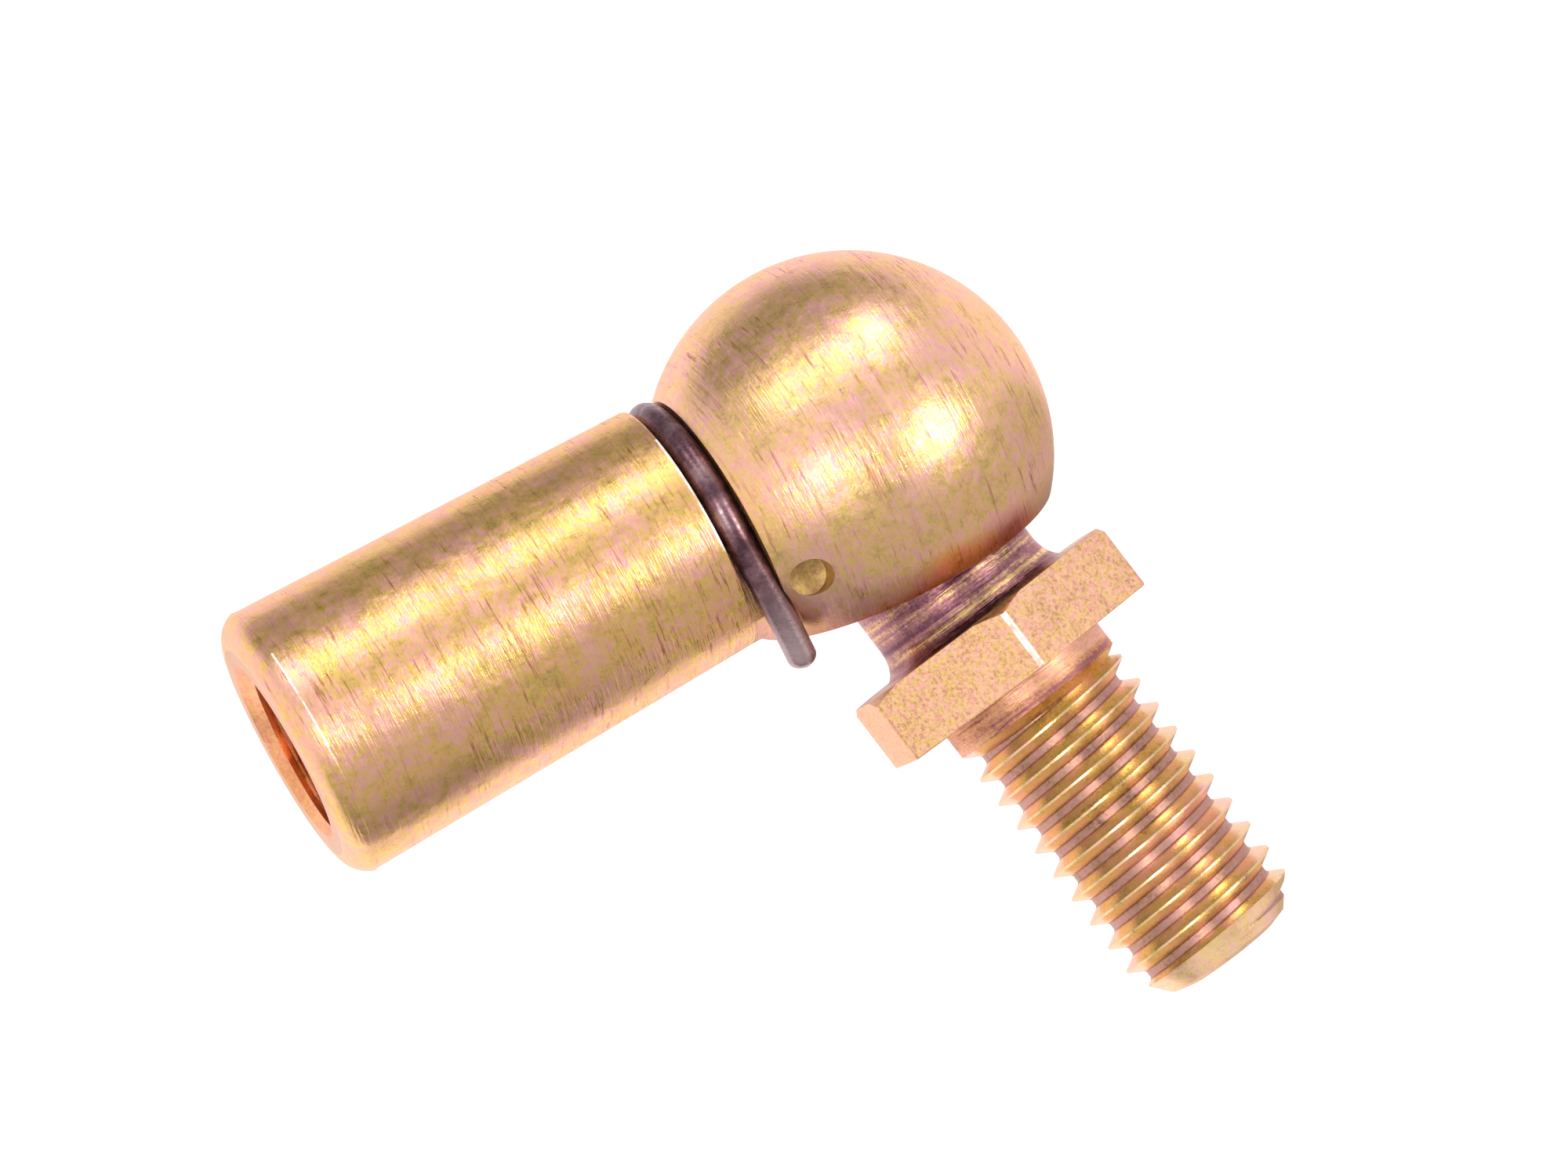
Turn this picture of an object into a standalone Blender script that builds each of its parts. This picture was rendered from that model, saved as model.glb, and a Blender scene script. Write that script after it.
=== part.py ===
"""Angled ball joint with an M8 threaded shank, an M8 ball stud, a snap ring and a safety clip.

Units are metres and +Z is up. The origin is the centre of the shank's open end face. The shank
lies along +X, the ball pocket opens towards -Z, and the stud hangs out of it.
"""
import math

import bmesh
import bpy
from mathutils import Matrix, Vector

MM = 0.001

# Ball socket: a round head on a threaded shank
BALL_CENTRE = Vector((26.74, 0.0, -0.65)) * MM
HEAD_RADIUS = 8.5 * MM
MOUTH_DROP = 4.9 * MM
SHANK_END_RADIUS = 6.0 * MM
SHANK_NECK_RADIUS = 5.5 * MM
SHANK_EDGE_ROUND = 1.3 * MM
SHANK_EDGE_BREAK = math.radians(-18)
SHANK_CORE_RADIUS = 4.6 * MM
SHANK_CORE_X = 20.7 * MM
SHOULDER_X = 19.14 * MM
TURN_STEPS = 48

# Ball pocket with the groove that holds the snap ring
BALL_RADIUS = 6.5 * MM
RUNNING_GAP = 0.1 * MM
POCKET_RADIUS = BALL_RADIUS + RUNNING_GAP
RING_DROP = 3.1 * MM
RING_WIRE_RADIUS = 0.45 * MM
RING_RADIUS = 6.35 * MM
RING_GAP_ANGLE = math.radians(24)

# Neck groove, cross holes and the wire of the safety clip
CLIP_WIRE_RADIUS = 0.63 * MM
CLIP_TURN_RADIUS = 4.82 * MM
CLIP_CLEARANCE = 0.1 * MM
NECK_RADIUS = CLIP_TURN_RADIUS - CLIP_WIRE_RADIUS - CLIP_CLEARANCE
NECK_FAR_X = 20.56 * MM
NECK_BRIDGE_HALF = 3.9 * MM
HOLE_X = 21.64 * MM
HOLE_Z = -2.75 * MM
HOLE_RADIUS = 0.82 * MM
HOLE_FLOOR_Y = 5.35 * MM
CLIP_TOP_X = 19.85 * MM

# M8 coarse thread: ridge and valley radii, pitch and the widths of its two flats
PITCH = 1.25 * MM
STUD_MAJOR = 3.925 * MM
STUD_MINOR = 3.25 * MM
BORE_MAJOR = 4.02 * MM
BORE_MINOR = 3.35 * MM
CREST_FLAT = 0.14 * MM
THREAD_STEPS = 24
BORE_MOUTH_RADIUS = 3.85 * MM
BORE_THREAD_END = 13.0 * MM
BORE_DRILL_END = 15.5 * MM

# Ball stud, measured from the ball centre along its own axis
STUD_LEAN = math.radians(18.07)
STUD_HEADING = math.radians(-63.4)
STUD_NECK_RADIUS = 3.96 * MM
COLLAR_START = 7.3 * MM
COLLAR_RADIUS = 4.76 * MM
HEX_TOP = 8.62 * MM
HEX_BOTTOM = 11.65 * MM
HEX_ACROSS_FLATS = 12.0 * MM
HEX_FACE_RADIUS = 6.35 * MM
HEX_CORNER_HEADING = math.radians(-92.8)
RELIEF_RADIUS = 3.94 * MM
RELIEF_END = 12.85 * MM
THREAD_START = 12.95 * MM
STUD_TIP = 26.1 * MM
TIP_RADIUS = 2.2 * MM
TIP_EDGE_RADIUS = 2.9 * MM
TIP_EDGE = 0.2 * MM
TIP_CHAMFER = 1.45 * MM
FIRST_CREST = 13.47 * MM
FIRST_CREST_HEADING = math.radians(-10.4)


def clear_scene():
    """Remove the objects and meshes that a new file starts with."""
    for obj in list(bpy.data.objects):
        bpy.data.objects.remove(obj, do_unlink=True)
    for mesh in list(bpy.data.meshes):
        bpy.data.meshes.remove(mesh)


def new_collection(name):
    """Make a collection in the scene."""
    collection = bpy.data.collections.new(name)
    bpy.context.scene.collection.children.link(collection)
    return collection


def make_material(name, colour, roughness, metallic):
    """Make a Principled material of one colour."""
    material = bpy.data.materials.new(name)
    material.use_nodes = True
    shader = material.node_tree.nodes["Principled BSDF"]
    shader.inputs["Base Color"].default_value = (*colour, 1.0)
    shader.inputs["Roughness"].default_value = roughness
    shader.inputs["Metallic"].default_value = metallic
    return material


def add_object(name, bm, collection):
    """Turn a bmesh into an object in a collection."""
    mesh = bpy.data.meshes.new(name)
    bmesh.ops.recalc_face_normals(bm, faces=bm.faces)
    bm.to_mesh(mesh)
    bm.free()
    obj = bpy.data.objects.new(name, mesh)
    collection.objects.link(obj)
    return obj


def as_cutter(obj):
    """Show a helper solid as a wire outline only."""
    obj.hide_render = True
    obj.display_type = "WIRE"
    return obj


def turn(name, profile, collection, steps=TURN_STEPS):
    """Turn a profile of (radius, height) points about Z; it starts and ends on the axis."""
    bm = bmesh.new()
    points = [bm.verts.new((radius, 0.0, height)) for radius, height in profile]
    for start, end in zip(points, points[1:]):
        bm.edges.new((start, end))
    geometry = bm.verts[:] + bm.edges[:]
    bmesh.ops.spin(bm, geom=geometry, axis=(0, 0, 1), cent=(0, 0, 0), angle=2 * math.pi, steps=steps,
                   use_merge=True, use_duplicate=False)
    bmesh.ops.remove_doubles(bm, verts=bm.verts, dist=1e-7)
    return add_object(name, bm, collection)


def lay_along_x(obj):
    """Turn an object whose axis is +Z so that its axis is +X."""
    obj.rotation_euler = (0.0, math.radians(90), 0.0)


def box(name, low, high, collection):
    """Make a box between two corners."""
    bm = bmesh.new()
    size = Vector(high) - Vector(low)
    centre = (Vector(high) + Vector(low)) / 2
    bmesh.ops.create_cube(bm, size=1.0, matrix=Matrix.Translation(centre) @ Matrix.Diagonal((*size, 1.0)))
    return as_cutter(add_object(name, bm, collection))


def boolean(obj, other, operation):
    """Apply a Boolean of one object on another straight away."""
    modifier = obj.modifiers.new(other.name, "BOOLEAN")
    modifier.operation = operation
    modifier.object = other
    modifier.solver = "EXACT"
    bpy.context.view_layer.update()
    evaluated = obj.evaluated_get(bpy.context.evaluated_depsgraph_get())
    mesh = bpy.data.meshes.new_from_object(evaluated)
    obj.modifiers.remove(modifier)
    obj.data = mesh


def arc(radius, start, end, steps, centre=(0.0, 0.0)):
    """Points on an arc in (radius, height), angles from the radius axis."""
    angles = [start + (end - start) * i / steps for i in range(steps + 1)]
    return [(centre[0] + radius * math.cos(a), centre[1] + radius * math.sin(a)) for a in angles]


def thread_profile(major, minor):
    """One pitch of the thread as (radius, share of the pitch) points."""
    flank = (major - minor) * math.tan(math.radians(30))
    half_crest = CREST_FLAT / 2
    points = [(major, -half_crest), (major, half_crest), (minor, half_crest + flank),
              (minor, PITCH - half_crest - flank)]
    return [(radius, along / PITCH) for radius, along in points]


def threaded_rod(name, major, minor, start, end, phase, collection):
    """Right-hand threaded rod along -Z from start to end, closed by a fan at each end.

    The surface is one sheet: a column one full turn on is the same column, one pitch earlier.
    """
    profile = thread_profile(major, minor)
    rows_per_pitch = len(profile)
    turns = math.ceil((end - start) / PITCH) + 1
    rows = turns * rows_per_pitch
    bm = bmesh.new()
    grid = {}

    def vertex(row, column):
        if column == THREAD_STEPS:
            return vertex(row - rows_per_pitch, 0)
        if (row, column) not in grid:
            angle = 2 * math.pi * column / THREAD_STEPS
            radius, share = profile[row % rows_per_pitch]
            turn_number = row // rows_per_pitch
            depth = start + phase + PITCH * (turn_number + share - column / THREAD_STEPS)
            place = (radius * math.cos(angle), radius * math.sin(angle), -depth)
            grid[row, column] = bm.verts.new(place)
        return grid[row, column]

    for row in range(rows):
        for column in range(THREAD_STEPS):
            corners = [(row, column), (row, column + 1), (row + 1, column + 1), (row + 1, column)]
            bm.faces.new([vertex(*corner) for corner in corners])
    for last_row in (0, rows):
        loop = [vertex(last_row, column) for column in range(THREAD_STEPS)]
        loop += [vertex(last_row - rows_per_pitch + i, 0) for i in range(rows_per_pitch)]
        height = sum(v.co.z for v in loop) / len(loop)
        centre = bm.verts.new((0.0, 0.0, height))
        for here, after in zip(loop, loop[1:] + loop[:1]):
            bm.faces.new((here, after, centre))
    return as_cutter(add_object(name, bm, collection))


def shank_profile():
    """Half section of the shank, from its open end (height 0) into the head."""
    edge = SHANK_EDGE_ROUND
    centre = (SHANK_END_RADIUS - edge * math.cos(SHANK_EDGE_BREAK), edge)
    rounded = arc(edge, -math.pi / 2, SHANK_EDGE_BREAK, 5, centre)
    taper_x = SHANK_CORE_X - 0.6 * MM
    inner_x = BALL_CENTRE.x - 3.5 * MM
    return [(0.0, 0.0), *rounded, (SHANK_NECK_RADIUS, SHOULDER_X), (SHANK_NECK_RADIUS, taper_x),
            (SHANK_CORE_RADIUS, SHANK_CORE_X), (SHANK_CORE_RADIUS, inner_x), (0.0, inner_x)]


def pocket_profile():
    """Half section of the ball pocket, from its top down past the mouth."""
    dome = arc(POCKET_RADIUS, math.pi / 2, 0.0, 14)
    dome[0] = (0.0, POCKET_RADIUS)
    groove_radius = RING_WIRE_RADIUS + RUNNING_GAP
    groove = arc(groove_radius, math.radians(62), math.radians(-62), 6, (RING_RADIUS, -RING_DROP))
    mouth = [(POCKET_RADIUS, -MOUTH_DROP + 0.15 * MM), (POCKET_RADIUS + 0.35 * MM, -MOUTH_DROP - 0.2 * MM),
             (POCKET_RADIUS + 0.35 * MM, -MOUTH_DROP - 2.0 * MM), (0.0, -MOUTH_DROP - 2.0 * MM)]
    return dome + groove + mouth


def neck_groove(cutters):
    """Ring-shaped cutter for the neck, open under the pocket so that its wall stays whole."""
    outer = HEAD_RADIUS + 1.0 * MM
    half = (NECK_FAR_X - SHOULDER_X) / 2
    bm = bmesh.new()
    middle = Matrix.Translation(((SHOULDER_X + NECK_FAR_X) / 2, 0.0, 0.0))
    place = middle @ Matrix.Rotation(math.radians(90), 4, "Y")
    bmesh.ops.create_cone(bm, cap_ends=True, segments=TURN_STEPS, radius1=outer, radius2=outer,
                          depth=2 * half, matrix=place)
    ring = as_cutter(add_object("cut_neck", bm, cutters))
    bm = bmesh.new()
    bmesh.ops.create_cone(bm, cap_ends=True, segments=TURN_STEPS, radius1=NECK_RADIUS, radius2=NECK_RADIUS,
                          depth=4 * half, matrix=place)
    core = as_cutter(add_object("cut_neck_core", bm, cutters))
    boolean(ring, core, "DIFFERENCE")
    low = (SHOULDER_X - 1.0 * MM, -NECK_BRIDGE_HALF, -outer - 1.0 * MM)
    high = (NECK_FAR_X + 1.0 * MM, NECK_BRIDGE_HALF, 0.0)
    boolean(ring, box("cut_neck_bridge", low, high, cutters), "DIFFERENCE")
    return ring


def bore_cutter(cutters):
    """Threaded hole with a drilled end and a countersunk mouth, along +X from the origin."""
    rod = threaded_rod("cut_bore", BORE_MAJOR, BORE_MINOR, -3 * PITCH, BORE_THREAD_END, 0.0, cutters)
    limit = turn("cut_bore_limit", [(0.0, 1.0 * MM), (6.0 * MM, 1.0 * MM),
                                    (6.0 * MM, 0.6 * MM - BORE_THREAD_END), (BORE_MINOR, -BORE_THREAD_END),
                                    (0.0, -BORE_THREAD_END)], cutters)
    boolean(rod, as_cutter(limit), "INTERSECT")
    drill_radius = BORE_MINOR + 0.02 * MM
    sink = drill_radius - 0.15 * MM
    drill = turn("cut_bore_drill", [(0.0, 0.8 * MM), (BORE_MOUTH_RADIUS + 0.8 * MM, 0.8 * MM),
                                    (BORE_MOUTH_RADIUS, 0.0), (sink, -(BORE_MOUTH_RADIUS - sink)),
                                    (sink, -BORE_DRILL_END), (0.0, -BORE_DRILL_END - 1.8 * MM)], cutters)
    boolean(rod, as_cutter(drill), "UNION")
    rod.rotation_euler = (0.0, math.radians(-90), 0.0)
    return rod


def build_socket(parts, cutters):
    """Head and shank in one piece, cut by the mouth, pocket, neck groove, cross holes and bore."""
    bm = bmesh.new()
    bmesh.ops.create_uvsphere(bm, u_segments=TURN_STEPS, v_segments=28, radius=HEAD_RADIUS)
    socket = add_object("ball_socket", bm, parts)
    socket.location = BALL_CENTRE
    shank = as_cutter(turn("add_shank", shank_profile(), cutters))
    lay_along_x(shank)
    boolean(socket, shank, "UNION")
    reach = 12 * MM
    mouth_z = BALL_CENTRE.z - MOUTH_DROP
    low = (BALL_CENTRE.x - HEAD_RADIUS - 1 * MM, -reach, mouth_z - reach)
    high = (BALL_CENTRE.x + reach, reach, mouth_z)
    boolean(socket, box("cut_mouth", low, high, cutters), "DIFFERENCE")
    pocket = as_cutter(turn("cut_pocket", pocket_profile(), cutters))
    pocket.location = BALL_CENTRE
    boolean(socket, pocket, "DIFFERENCE")
    boolean(socket, neck_groove(cutters), "DIFFERENCE")
    for side in (-1, 1):
        bm = bmesh.new()
        depth = 4 * MM
        place = Matrix.Translation((HOLE_X, side * (HOLE_FLOOR_Y + depth / 2), HOLE_Z))
        bmesh.ops.create_cone(bm, cap_ends=True, segments=16, radius1=HOLE_RADIUS, radius2=HOLE_RADIUS,
                              depth=depth, matrix=place @ Matrix.Rotation(math.radians(90), 4, "X"))
        hole = as_cutter(add_object(f"cut_hole_{side + 2}", bm, cutters))
        boolean(socket, hole, "DIFFERENCE")
    route = clip_route()
    in_groove = [i for i, point in enumerate(route) if point.z > 0.3 * MM]
    for name, stretch in (("cut_tail", route[:in_groove[0]]), ("cut_hook", route[in_groove[-1]:])):
        channel = wire(name, stretch, CLIP_WIRE_RADIUS + CLIP_CLEARANCE, cutters)
        boolean(socket, as_cutter(channel), "DIFFERENCE")
    boolean(socket, bore_cutter(cutters), "DIFFERENCE")
    return socket


def stud_blank_profile():
    """Half section of ball, neck and concave collar, along -Z, ending inside the hexagon."""
    neck_angle = math.asin(STUD_NECK_RADIUS / BALL_RADIUS)
    ball = arc(BALL_RADIUS, math.pi / 2, neck_angle - math.pi / 2, 22)
    ball[0] = (0.0, BALL_RADIUS)
    sweep = HEX_TOP - COLLAR_START
    flare = COLLAR_RADIUS - STUD_NECK_RADIUS
    collar = [(STUD_NECK_RADIUS + flare * (1 - math.cos(math.pi / 2 * i / 5)),
               -COLLAR_START - sweep * math.sin(math.pi / 2 * i / 5)) for i in range(6)]
    inside = HEX_TOP + 1.2 * MM
    return ball + collar + [(COLLAR_RADIUS, -inside), (0.0, -inside)]


def hexagon(cutters):
    """Hexagon with a 30 degree chamfer on its face towards the ball."""
    corner = HEX_ACROSS_FLATS / 2 / math.cos(math.radians(30))
    bm = bmesh.new()
    centre = Matrix.Translation((0.0, 0.0, -(HEX_TOP + HEX_BOTTOM) / 2))
    spin = Matrix.Rotation(HEX_CORNER_HEADING, 4, "Z") @ Matrix.Rotation(math.radians(90), 4, "Z")
    bmesh.ops.create_cone(bm, cap_ends=True, segments=6, radius1=corner, radius2=corner,
                          depth=HEX_BOTTOM - HEX_TOP, matrix=centre @ spin)
    hexagon_solid = as_cutter(add_object("add_hexagon", bm, cutters))
    outer = corner + 0.4 * MM
    drop = (outer - HEX_FACE_RADIUS) * math.tan(math.radians(30))
    over = 0.2 * MM
    slope = over / math.tan(math.radians(30))
    limit = turn("cut_hexagon", [(0.0, -HEX_TOP + over), (HEX_FACE_RADIUS - slope, -HEX_TOP + over),
                                 (outer, -HEX_TOP - drop), (outer, -HEX_BOTTOM - over),
                                 (0.0, -HEX_BOTTOM - over)], cutters)
    boolean(hexagon_solid, as_cutter(limit), "INTERSECT")
    return hexagon_solid


def stud_thread(cutters):
    """Threaded end of the stud with its tip chamfer."""
    lead = 3 * PITCH
    heading_share = FIRST_CREST_HEADING / (2 * math.pi)
    phase = (FIRST_CREST - THREAD_START + lead + PITCH * heading_share) % PITCH
    rod = threaded_rod("add_thread", STUD_MAJOR, STUD_MINOR, THREAD_START - lead, STUD_TIP + lead,
                       phase, cutters)
    over = 0.3 * MM
    outer = STUD_MAJOR + over
    slope = (TIP_CHAMFER - TIP_EDGE) / (STUD_MAJOR - TIP_EDGE_RADIUS)
    chamfer_start = -STUD_TIP + TIP_CHAMFER + over * slope
    start = -THREAD_START + 0.5 * MM
    lead_radius = RELIEF_RADIUS - 0.2 * MM
    limit = turn("cut_thread", [(0.0, start), (lead_radius, start), (outer, start - outer + lead_radius),
                                (outer, chamfer_start), (TIP_EDGE_RADIUS, -STUD_TIP + TIP_EDGE),
                                (TIP_RADIUS, -STUD_TIP), (0.0, -STUD_TIP)], cutters)
    boolean(rod, as_cutter(limit), "INTERSECT")
    return rod


def build_stud(parts, cutters):
    """Ball, neck, collar, hexagon and thread in one piece, leaning in the pocket."""
    stud = turn("ball_stud", stud_blank_profile(), parts)
    boolean(stud, hexagon(cutters), "UNION")
    inside = -HEX_BOTTOM + 1.0 * MM
    cone_end = -RELIEF_END - 0.5 * MM
    relief = turn("add_relief", [(0.0, inside), (RELIEF_RADIUS, inside), (RELIEF_RADIUS, -RELIEF_END),
                                 (STUD_MINOR - 0.1 * MM, cone_end), (0.0, cone_end)], cutters)
    boolean(stud, as_cutter(relief), "UNION")
    boolean(stud, stud_thread(cutters), "UNION")
    hinge = Vector((math.sin(STUD_HEADING), -math.cos(STUD_HEADING), 0.0))
    stud.matrix_world = Matrix.Translation(BALL_CENTRE) @ Matrix.Rotation(STUD_LEAN, 4, hinge)
    return stud


def smooth_route(points, steps):
    """Points on a smooth curve that passes through each given point."""
    points = [Vector(p) for p in points]
    padded = [2 * points[0] - points[1], *points, 2 * points[-1] - points[-2]]
    route = []
    for p0, p1, p2, p3 in zip(padded, padded[1:], padded[2:], padded[3:]):
        for i in range(steps):
            t = i / steps
            route.append(0.5 * (2 * p1 + (p2 - p0) * t + (2 * p0 - 5 * p1 + 4 * p2 - p3) * t ** 2
                                + (3 * p1 - p0 - 3 * p2 + p3) * t ** 3))
    return [*route, points[-1]]


def wire(name, route, radius, collection, round_ends=False):
    """Round wire along a route, as a closed mesh."""
    curve = bpy.data.curves.new(name, "CURVE")
    curve.dimensions = "3D"
    curve.bevel_depth = radius
    curve.bevel_resolution = 2
    curve.use_fill_caps = True
    spline = curve.splines.new("POLY")
    spline.points.add(len(route) - 1)
    for point, place in zip(spline.points, route):
        point.co = (*place, 1.0)
    if round_ends:
        for ends in (spline.points, list(spline.points)[::-1]):
            total = 0.0
            for here, after in zip(ends, ends[1:]):
                share = min(1.0, total / radius)
                here.radius = max(0.3, math.sqrt(1 - (1 - share) ** 2))
                total += (after.co - here.co).length
                if total > radius:
                    break
    guide = bpy.data.objects.new(name + "_curve", curve)
    collection.objects.link(guide)
    bpy.context.view_layer.update()
    evaluated = guide.evaluated_get(bpy.context.evaluated_depsgraph_get())
    mesh = bpy.data.meshes.new_from_object(evaluated)
    bm = bmesh.new()
    bm.from_mesh(mesh)
    bmesh.ops.remove_doubles(bm, verts=bm.verts, dist=1e-6)
    bpy.data.objects.remove(guide)
    return add_object(name, bm, collection)


def build_ring(parts):
    """Open ring of round wire under the ball's widest line."""
    half = RING_GAP_ANGLE / 2
    steps = 44
    angles = [half + (2 * math.pi - 2 * half) * i / steps for i in range(steps + 1)]
    route = [(RING_RADIUS * math.cos(a), RING_RADIUS * math.sin(a), -RING_DROP) for a in angles]
    ring = wire("snap_ring", route, RING_WIRE_RADIUS, parts)
    ring.location = BALL_CENTRE
    return ring


def clip_route():
    """Centre line of the clip: tail, turn over the neck, and the hooked end in its hole."""
    tail = [(20.16, -4.7, -6.38), (20.14, -4.76, -4.7), (20.08, -4.82, -2.9), (19.98, -4.84, -1.4)]
    turn_over = []
    for i in range(9):
        angle = math.radians(-90 + 172 * i / 8)
        lean = 0.05 * math.cos(math.pi * i / 8) ** 2
        turn_over.append((CLIP_TOP_X / MM + lean, CLIP_TURN_RADIUS / MM * math.sin(angle),
                          CLIP_TURN_RADIUS / MM * math.cos(angle)))
    hook = [(19.97, 5.35, -1.0), (20.1, 6.35, -1.9), (20.45, 7.05, -2.45), (21.1, 7.35, -2.72),
            (21.56, 7.0, -2.75), (21.64, 6.4, -2.75), (21.64, 5.7, -2.75)]
    return smooth_route([Vector(p) * MM for p in tail + turn_over + hook], 4)


def build_clip(parts):
    """Safety clip of round spring wire."""
    return wire("safety_clip", clip_route(), CLIP_WIRE_RADIUS, parts, round_ends=True)


def finish_part(obj, material):
    """Give a part its material and smooth shading with sharp edges."""
    obj.data.materials.clear()
    obj.data.materials.append(material)
    obj.data.shade_smooth()
    obj.data.set_sharp_from_angle(angle=math.radians(35))


def main():
    clear_scene()
    parts = new_collection("angled_ball_joint")
    cutters = new_collection("cutters")
    zinc = (0.72, 0.56, 0.30)
    finish_part(build_socket(parts, cutters), make_material("socket_yellow_zinc", zinc, 0.32, 1.0))
    finish_part(build_stud(parts, cutters), make_material("stud_yellow_zinc", zinc, 0.36, 1.0))
    finish_part(build_ring(parts), make_material("ring_spring_steel", (0.30, 0.29, 0.29), 0.35, 1.0))
    finish_part(build_clip(parts), make_material("clip_dark_steel", (0.16, 0.11, 0.12), 0.35, 1.0))


main()
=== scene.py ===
"""Looks for the angled ball joint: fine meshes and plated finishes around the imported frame.

Units are metres and +Z is up, as in the frame. The shank lies along +X from the origin, the
pocket opens towards -Z, and the stud hangs out of it.
"""
import math

import bmesh
import bpy
from mathutils import Matrix, Vector


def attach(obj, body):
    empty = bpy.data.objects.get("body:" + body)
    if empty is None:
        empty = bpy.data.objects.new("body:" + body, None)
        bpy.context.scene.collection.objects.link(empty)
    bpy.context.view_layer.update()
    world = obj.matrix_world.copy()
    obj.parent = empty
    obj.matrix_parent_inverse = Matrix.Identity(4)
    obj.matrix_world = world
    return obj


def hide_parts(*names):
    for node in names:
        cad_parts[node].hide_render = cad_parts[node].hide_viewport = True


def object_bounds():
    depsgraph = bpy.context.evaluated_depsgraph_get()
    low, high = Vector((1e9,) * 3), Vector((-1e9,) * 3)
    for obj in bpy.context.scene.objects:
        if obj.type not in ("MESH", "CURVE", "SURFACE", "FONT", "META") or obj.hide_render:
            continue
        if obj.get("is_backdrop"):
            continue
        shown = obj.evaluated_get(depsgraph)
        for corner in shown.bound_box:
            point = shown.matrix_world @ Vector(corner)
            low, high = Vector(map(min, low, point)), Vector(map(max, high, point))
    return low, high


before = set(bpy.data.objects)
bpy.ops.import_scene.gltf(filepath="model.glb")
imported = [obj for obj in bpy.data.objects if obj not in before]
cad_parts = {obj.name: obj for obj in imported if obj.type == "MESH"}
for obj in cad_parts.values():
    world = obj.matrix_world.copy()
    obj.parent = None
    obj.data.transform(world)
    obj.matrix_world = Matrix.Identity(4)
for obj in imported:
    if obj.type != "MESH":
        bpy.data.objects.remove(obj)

MM = 0.001
CAD_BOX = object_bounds()
FINE = 144
X_AXIS, Z_AXIS = 0, 2

# Ball socket, the same sizes as the CAD part
BALL_CENTRE = Vector((26.74, 0.0, -0.65)) * MM
HEAD_RADIUS = 8.5 * MM
MOUTH_DROP = 4.9 * MM
SHANK_END_RADIUS = 6.0 * MM
SHANK_NECK_RADIUS = 5.5 * MM
SHANK_EDGE_ROUND = 1.3 * MM
SHANK_EDGE_BREAK = math.radians(-18)
SHOULDER_X = 19.14 * MM
BALL_RADIUS = 6.5 * MM
POCKET_RADIUS = 6.6 * MM
RING_DROP = 3.1 * MM
RING_WIRE_RADIUS = 0.45 * MM
RING_RADIUS = 6.35 * MM
RING_GAP_ANGLE = math.radians(24)
RUNNING_GAP = 0.1 * MM

# Neck groove, cross holes and safety clip
CLIP_WIRE_RADIUS = 0.63 * MM
CLIP_TURN_RADIUS = 4.82 * MM
CLIP_CLEARANCE = 0.1 * MM
NECK_RADIUS = CLIP_TURN_RADIUS - CLIP_WIRE_RADIUS - CLIP_CLEARANCE
NECK_FAR_X = 20.56 * MM
NECK_BRIDGE_HALF = 3.9 * MM
HOLE_X = 21.64 * MM
HOLE_Z = -2.75 * MM
HOLE_RADIUS = 0.82 * MM
HOLE_FLOOR_Y = 5.35 * MM
# painted shade: the head's finish turns darker between these heights towards its mouth
MOUTH_SHADE = (-5.6 * MM, -4.0 * MM)
CLIP_TOP_X = 19.85 * MM
EDGE_BREAK = 0.13 * MM
EDGE_LINE = 0.09 * MM
# Headings where the end edge and the shoulder get pale wear, which also serves as a painted highlight line
END_EDGE_WEAR_AND_HIGHLIGHT = (8, 52)
SHOULDER_WEAR_AND_HIGHLIGHT = (-4, 58)

# M8 coarse thread
PITCH = 1.25 * MM
STUD_MAJOR = 3.925 * MM
STUD_MINOR = 3.25 * MM
BORE_MAJOR = 4.02 * MM
BORE_MINOR = 3.35 * MM
CREST_FLAT = 0.1 * MM
THREAD_STEPS = 96
BORE_MOUTH_RADIUS = 3.85 * MM
BORE_THREAD_END = 13.0 * MM
BORE_DRILL_END = 15.5 * MM

# Ball stud, measured from the ball centre along its own axis
STUD_LEAN = math.radians(18.07)
STUD_HEADING = math.radians(-63.4)
STUD_NECK_RADIUS = 3.96 * MM
COLLAR_START = 7.3 * MM
COLLAR_RADIUS = 4.76 * MM
HEX_TOP = 8.62 * MM
HEX_BOTTOM = 11.65 * MM
HEX_ACROSS_FLATS = 12.0 * MM
HEX_FACE_RADIUS = 6.35 * MM
HEX_CORNER_HEADING = math.radians(-92.8)
RELIEF_RADIUS = 3.94 * MM
RELIEF_END = 12.85 * MM
THREAD_START = 12.95 * MM
STUD_TIP = 26.1 * MM
TIP_RADIUS = 2.19 * MM
TIP_EDGE_RADIUS = 2.9 * MM
TIP_EDGE = 0.2 * MM
TIP_CHAMFER = 1.45 * MM
FIRST_CREST = 13.47 * MM
FIRST_CREST_HEADING = math.radians(-10.4)

# Camera and stage
CAMERA_FROM_BALL = Vector((-63.31, -277.57, 70.07)) * MM
CAMERA_RIGHT = Vector((0.85468, -0.29327, -0.42839))
CAMERA_DOWN = Vector((-0.47951, -0.12967, -0.86791))
CAMERA_LENS = 161.98
FLOOR_Z = -100 * MM
FLOOR_HALF = 4.0


# ---- mesh helpers ----

def add_object(name, bm):
    """Turn a bmesh into an object in the scene."""
    mesh = bpy.data.meshes.new(name)
    bmesh.ops.recalc_face_normals(bm, faces=bm.faces)
    bm.to_mesh(mesh)
    bm.free()
    obj = bpy.data.objects.new(name, mesh)
    bpy.context.scene.collection.objects.link(obj)
    return obj


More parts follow.
